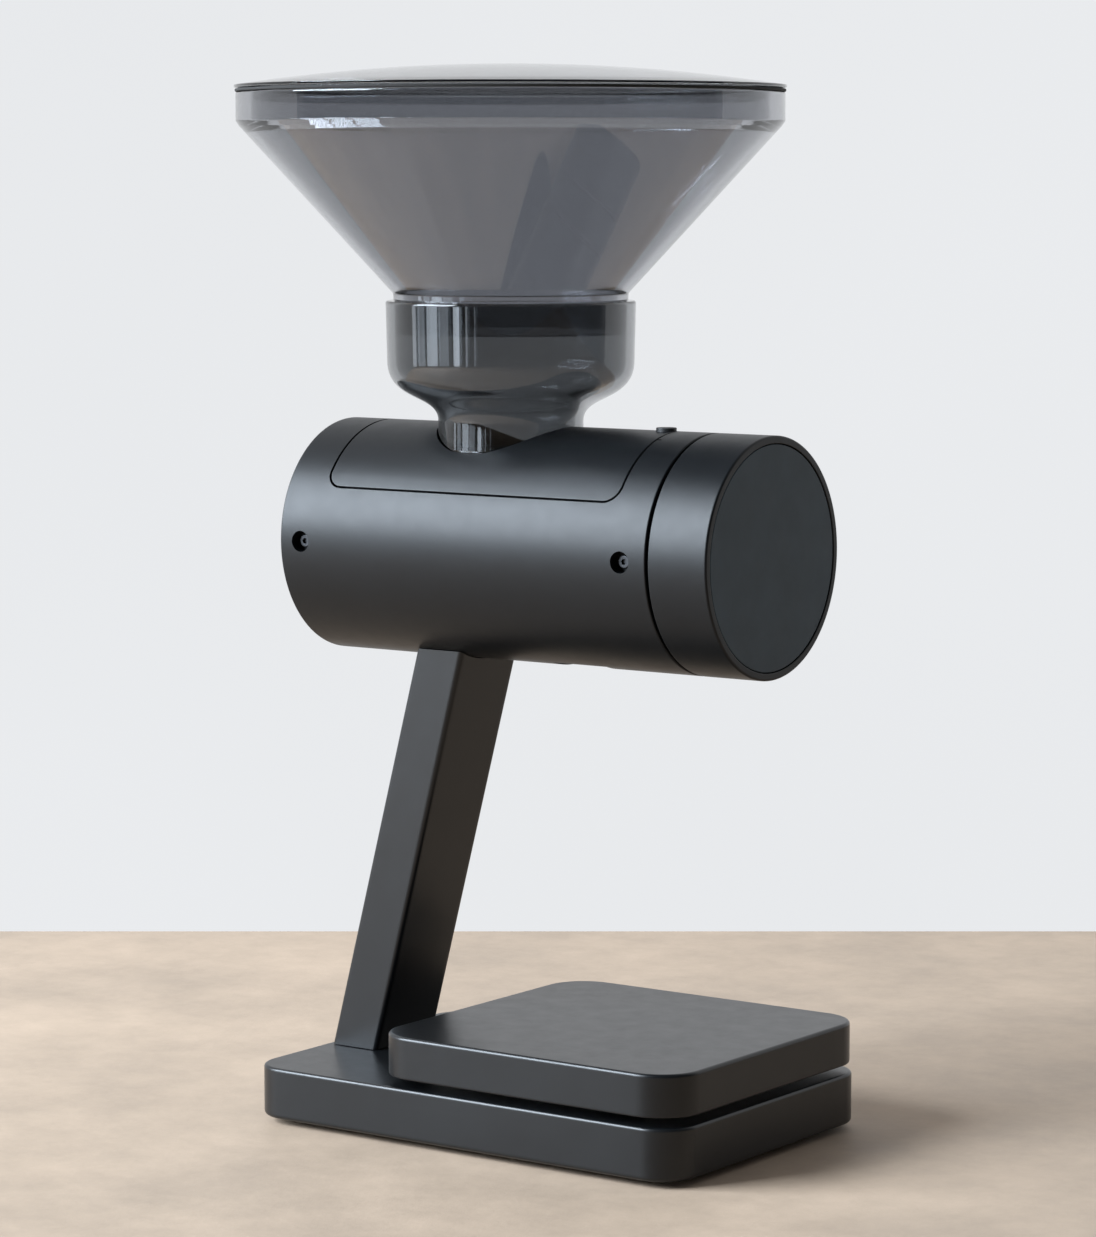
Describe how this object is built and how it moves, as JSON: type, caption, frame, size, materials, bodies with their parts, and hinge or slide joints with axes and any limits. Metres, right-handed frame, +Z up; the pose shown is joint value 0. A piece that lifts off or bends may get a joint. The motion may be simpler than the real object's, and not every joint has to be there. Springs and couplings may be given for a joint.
{
  "type": "pedestal coffee grinder",
  "caption": "Motor-driven pedestal coffee grinder: horizontal cylinder body with a grind dial on a leaning post, a weighing platform on the base and a wide smoked funnel hopper.",
  "frame": {"origin": "centre of the grinder's bounding box, on the surface that its rubber feet stand on", "axes": "+Z up; +X from the post's heel towards the grind dial, along the body's axis; +Y across the base"},
  "size_m": [0.2128, 0.198, 0.3842],
  "materials": {
    "dark_anodised": "dark grey anodised aluminium, fine satin blast",
    "dial_face": "matte dark grey anodised aluminium",
    "smoke_plastic": "clear smoke-grey plastic, polished",
    "rubber": "matte black rubber",
    "black_plastic": "fine-textured black plastic",
    "dark_steel": "black oxide steel",
    "steel": "ground steel",
    "cast_alloy": "cast and machined aluminium",
    "circuit_board": "green solder mask",
    "copper": "enamelled copper winding"
  },
  "bodies": {
    "stand": {"base_bottom_plate": "black_plastic", "base_housing": "dark_anodised", "base_plate_screw_1": "dark_steel", "base_plate_screw_2": "dark_steel", "base_plate_screw_3": "dark_steel", "base_plate_screw_4": "dark_steel", "body_shell": "dark_anodised", "burr_chamber": "cast_alloy", "chamber_cover": "cast_alloy", "dial_retainer": "steel", "exit_chute": "black_plastic", "feed_chamber": "cast_alloy", "foot_1": "rubber", "foot_2": "rubber", "foot_3": "rubber", "foot_4": "rubber", "frame_screw_1": "dark_steel", "frame_screw_2": "dark_steel", "frame_screw_3": "dark_steel", "frame_screw_4": "dark_steel", "front_bulkhead": "cast_alloy", "load_cell": "cast_alloy", "middle_bearing": "steel", "middle_bulkhead": "cast_alloy", "motor_control_board": "circuit_board", "motor_stator": "steel", "motor_windings": "copper", "platform_spider": "cast_alloy", "post": "dark_anodised", "post_foot_screw_1": "dark_steel", "post_foot_screw_2": "dark_steel", "post_head_screw_1": "dark_steel", "post_head_screw_2": "dark_steel", "power_inlet": "black_plastic", "rear_bearing": "steel", "rear_bulkhead": "cast_alloy", "rear_cap": "dial_face", "return_spring": "steel", "scale_board": "circuit_board", "stationary_burr": "steel", "throat_gasket": "rubber"},
    "platform": {"weighing_platform": "dark_anodised"},
    "start_key": {"start_button": "black_plastic"},
    "dial": {"adjustment_dial": "dark_anodised", "dial_face": "dial_face"},
    "thrust": {"thrust_plunger": "steel", "thrust_bearing": "steel"},
    "rotor": {"drive_shaft": "steel", "feed_auger": "steel", "motor_rotor": "dark_steel", "burr_carrier": "cast_alloy", "rotating_burr": "steel"},
    "cover": {"top_cover": "dark_anodised", "release_spring": "steel"},
    "release_key": {"release_button": "black_plastic"},
    "collar": {"hopper_collar": "smoke_plastic"},
    "cone": {"hopper_cone": "smoke_plastic"},
    "lid_cap": {"lid": "smoke_plastic", "lid_seal": "rubber"}
  },
  "joints": [
    {"name": "top_cover_lift", "type": "slide", "parent": "stand", "child": "cover", "axis": [0, 0, 1], "range_m": [0, 0.02]},
    {"name": "collar_lift", "type": "slide", "parent": "cover", "child": "collar", "axis": [0, 0, 1], "range_m": [0, 0.03]},
    {"name": "hopper_lift", "type": "slide", "parent": "collar", "child": "cone", "axis": [0, 0, 1], "range_m": [0, 0.03]},
    {"name": "lid_lift", "type": "slide", "parent": "cone", "child": "lid_cap", "axis": [0, 0, 1], "range_m": [0, 0.03]},
    {"name": "platform_lift", "type": "slide", "parent": "stand", "child": "platform", "axis": [0, 0, 1], "range_m": [0, 0.03]},
    {"name": "dial_turn", "type": "hinge", "parent": "stand", "child": "dial", "pos_m": [0.09, 0, 0.2122], "axis": [1, 0, 0], "range_deg": [-150, 150]},
    {"name": "burr_adjust", "type": "slide", "parent": "stand", "child": "thrust", "axis": [1, 0, 0], "range_m": [-0.00045, 0.00045]},
    {"name": "rotor_spin", "type": "hinge", "parent": "thrust", "child": "rotor", "pos_m": [0.03, 0, 0.2122], "axis": [1, 0, 0], "continuous": true},
    {"name": "release_press", "type": "slide", "parent": "cover", "child": "release_key", "axis": [0, 0, -1], "range_m": [0, 0.0008], "stiffness_N_per_m": 1500, "springref_m": -0.0008, "deforming": ["release_spring"]},
    {"name": "start_press", "type": "slide", "parent": "stand", "child": "start_key", "axis": [1, 0, 0], "range_m": [0, 0.0008], "stiffness_N_per_m": 1500, "springref_m": -0.0008}
  ],
  "couplings": [
    {"joint": "burr_adjust", "follows": "dial_turn", "m_per_rad": 0.00015915}
  ]
}
